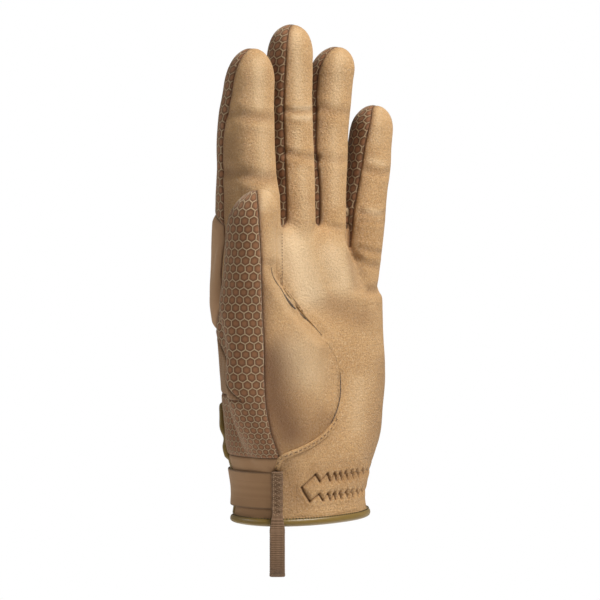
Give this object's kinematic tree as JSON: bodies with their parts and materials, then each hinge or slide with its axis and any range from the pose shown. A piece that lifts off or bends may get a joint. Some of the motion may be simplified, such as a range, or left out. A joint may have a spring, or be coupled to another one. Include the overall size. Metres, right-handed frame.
{
  "type": "tactical glove",
  "caption": "Left-hand tactical glove in its worn form: smooth leather palm, honeycomb mesh back, short elastic cuff with a strap and a pull loop, open and hollow at the wrist.",
  "frame": {"origin": "middle of the wrist opening, in the plane of the hem, where a wrist enters", "axes": "+Z from the hem to the fingertips, -Y out of the palm, -X to the thumb, +X to the little finger"},
  "size_m": [0.1001, 0.0565, 0.2335],
  "materials": {
    "leather": "smooth matte synthetic leather",
    "leather_tape": "matte, stitched",
    "honeycomb_mesh": "knitted honeycomb mesh, matte",
    "smooth_fabric": "smooth stretch fabric, matte",
    "cuff_elastic": "ribbed woven elastic, matte",
    "strap_webbing": "woven webbing, matte",
    "binding": "rolled binding tape, slight sheen"
  },
  "bodies": {
    "root": {"palm_panel": "leather", "index_panel": "leather", "thumb_panel": "leather", "thumb_mesh": "honeycomb_mesh", "index_back": "honeycomb_mesh", "middle_back": "honeycomb_mesh", "ring_back": "honeycomb_mesh", "little_back": "honeycomb_mesh", "knuckle_panel": "smooth_fabric", "back_mesh": "honeycomb_mesh", "back_patch": "smooth_fabric", "cuff_band_outer": "cuff_elastic", "cuff_band_back": "cuff_elastic", "closure_strap": "strap_webbing", "vent_binding": "binding", "hem_binding": "binding", "thumb_welt": "leather_tape", "fold_welt": "leather_tape", "wrist_elastic": "leather_tape", "pull_loop": "strap_webbing"}
  },
  "joints": []
}
